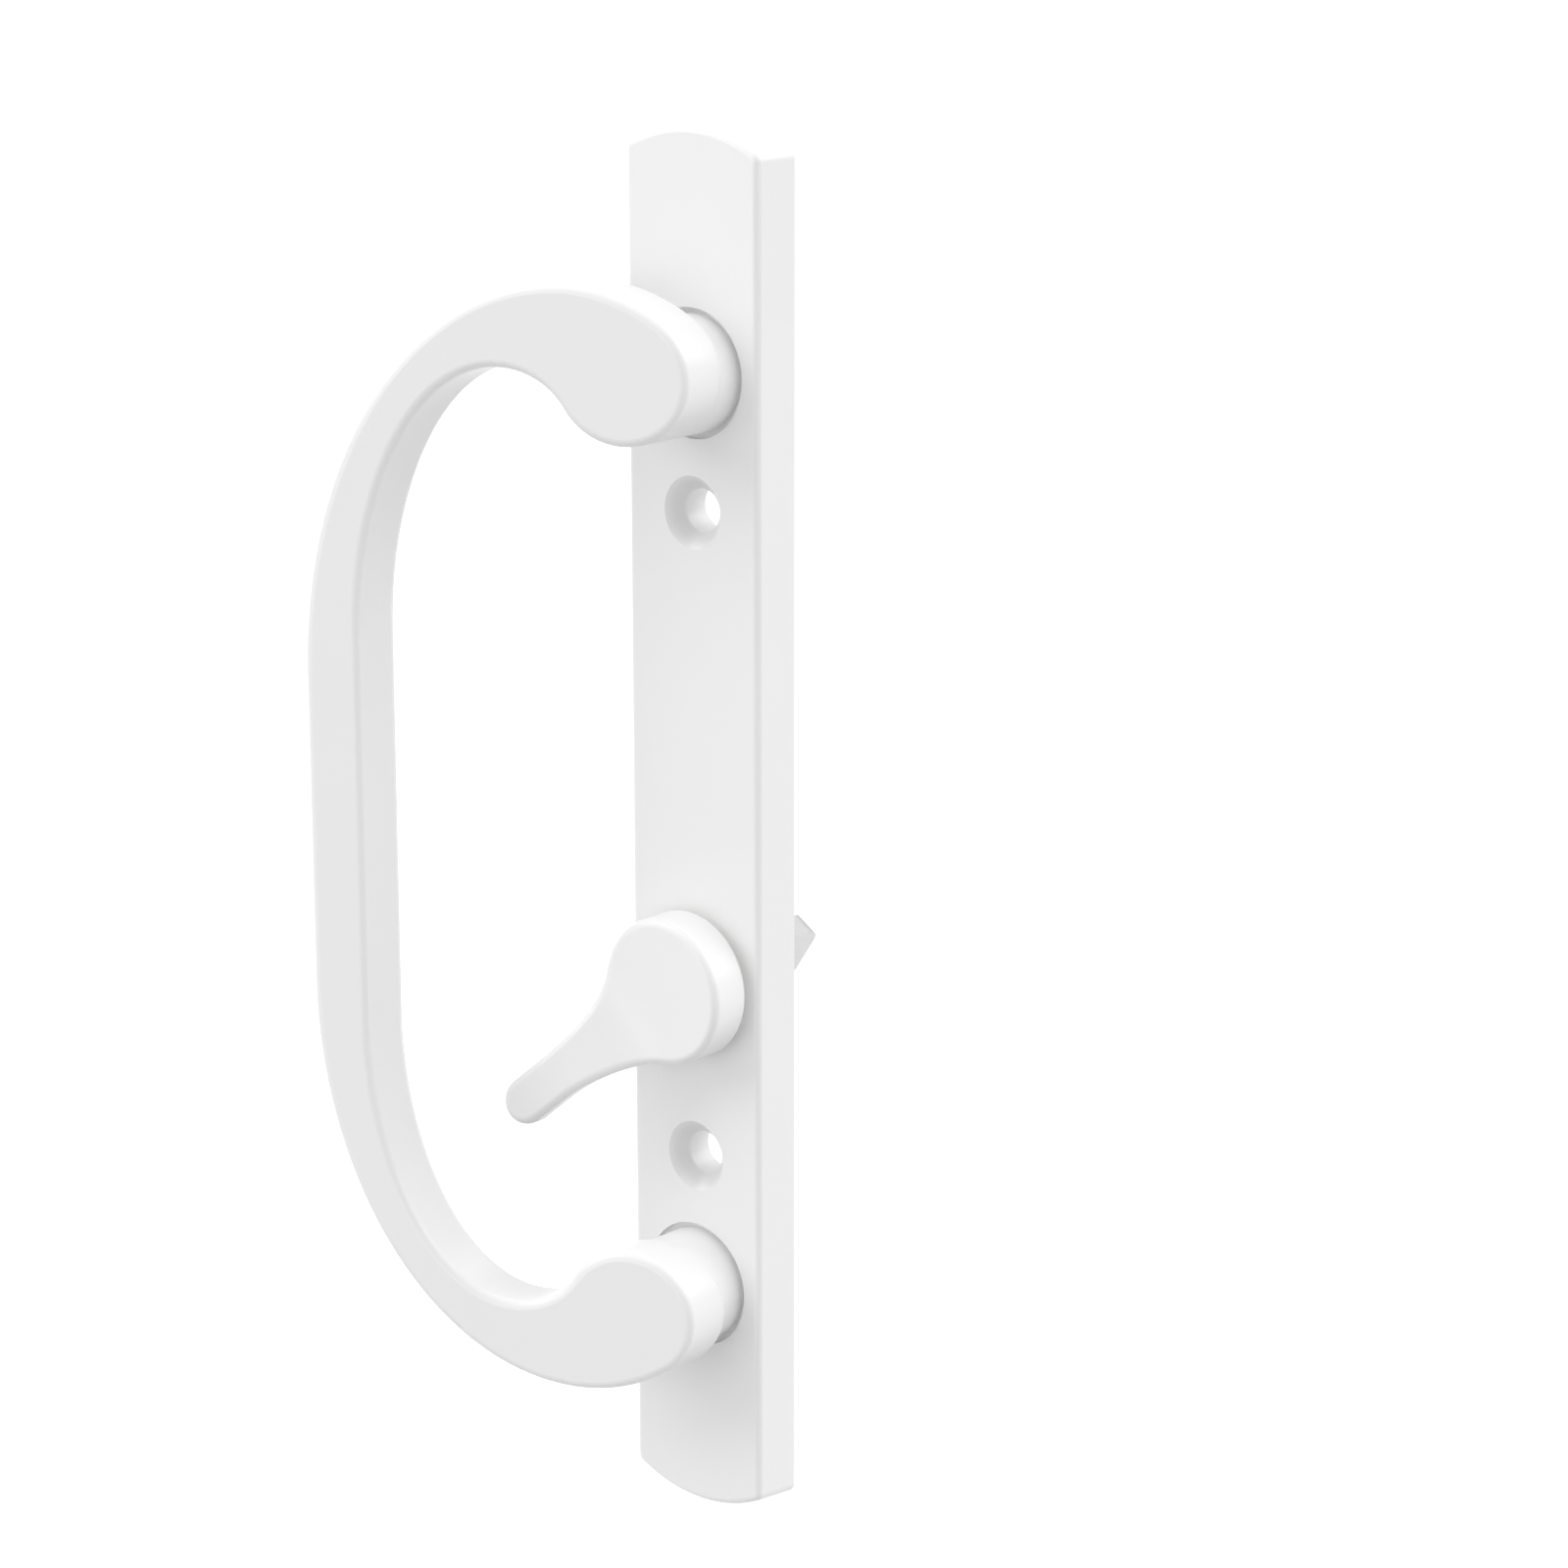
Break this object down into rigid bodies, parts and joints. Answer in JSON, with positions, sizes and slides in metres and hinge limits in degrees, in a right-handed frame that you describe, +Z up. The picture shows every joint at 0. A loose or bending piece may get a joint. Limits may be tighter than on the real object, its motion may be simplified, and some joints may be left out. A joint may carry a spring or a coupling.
{
  "type": "sliding patio door handle",
  "caption": "Inside half of a sliding patio door handle: hollow cast plate with arched ends, offset C-shaped pull and a thumb-turn lever with a flat tailpiece.",
  "frame": {"origin": "on the face of the door, midway between the two mounting holes", "axes": "+Y into the door, +Z up, +X to the right as seen from the room"},
  "size_m": [0.0633, 0.0559, 0.2134],
  "materials": {
    "white_paint": "smooth satin powder coat",
    "white_nylon": "matte",
    "bright_zinc": "bright zinc plate",
    "satin_zinc": "satin zinc plate",
    "spring_steel": "oiled spring steel"
  },
  "bodies": {
    "handle": {"escutcheon_plate": "white_paint", "pull_handle": "white_paint", "upper_pull_screw": "bright_zinc", "lower_pull_screw": "bright_zinc"},
    "thumb_turn": {"thumb_turn": "white_paint", "thrust_washer": "white_nylon", "tailpiece": "satin_zinc", "tail_pin": "spring_steel", "flat_washer": "bright_zinc", "wave_washer": "spring_steel", "retaining_ring": "spring_steel"}
  },
  "joints": [
    {"name": "thumb_turn_pivot", "type": "hinge", "parent": "handle", "child": "thumb_turn", "pos_m": [0, 0, -0.022], "axis": [0, 1, 0], "range_deg": [0, 90]}
  ]
}
